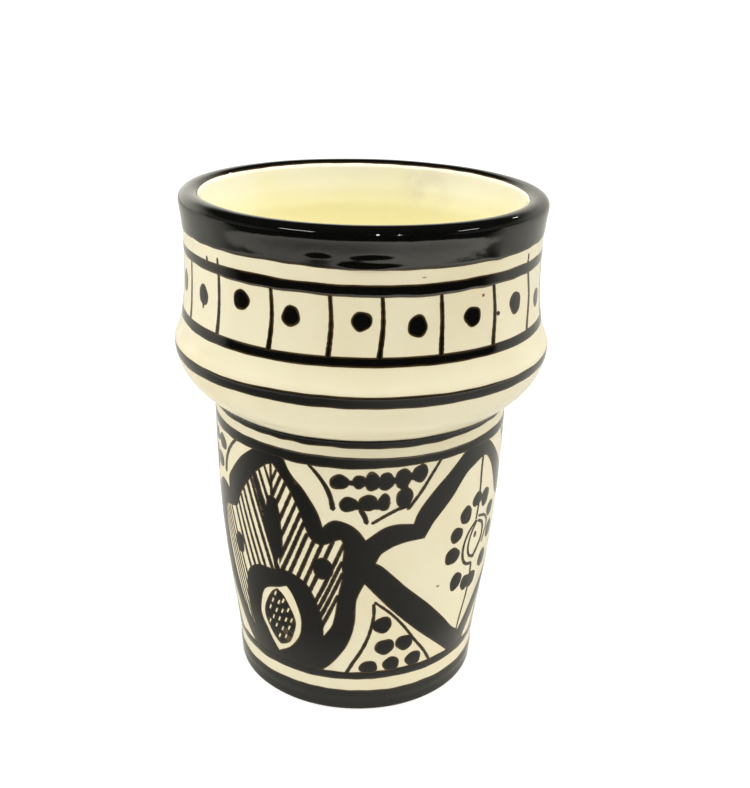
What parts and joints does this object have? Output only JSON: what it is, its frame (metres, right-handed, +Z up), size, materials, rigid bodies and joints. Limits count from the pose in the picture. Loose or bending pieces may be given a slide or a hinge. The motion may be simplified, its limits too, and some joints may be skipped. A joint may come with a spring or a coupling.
{
  "type": "earthenware mug",
  "caption": "Handleless thrown earthenware mug with a raised ring below its collar, cream glaze inside and out, black glaze lines and a turned foot.",
  "frame": {"origin": "middle of the foot, on the surface that the mug stands on", "axes": "+Z up along the axis that the mug was thrown on, -Y towards the side that the picture shows"},
  "size_m": [0.0844, 0.0844, 0.1154],
  "materials": {
    "clay": "bare fired clay, matt",
    "inner_glaze": "glossy pale yellow-cream glaze",
    "outer_glaze": "glossy pale cream glaze",
    "black_glaze": "glossy black glaze paint, brown where thin"
  },
  "bodies": {
    "root": {"clay_body": "clay", "inner_glaze": "inner_glaze", "outer_glaze": "outer_glaze", "lip_band": "black_glaze", "collar_upper_line": "black_glaze", "collar_lower_line": "black_glaze", "ring_line": "black_glaze", "neck_upper_line": "black_glaze", "neck_lower_line": "black_glaze", "base_line": "black_glaze", "foot_band": "black_glaze"}
  },
  "joints": []
}
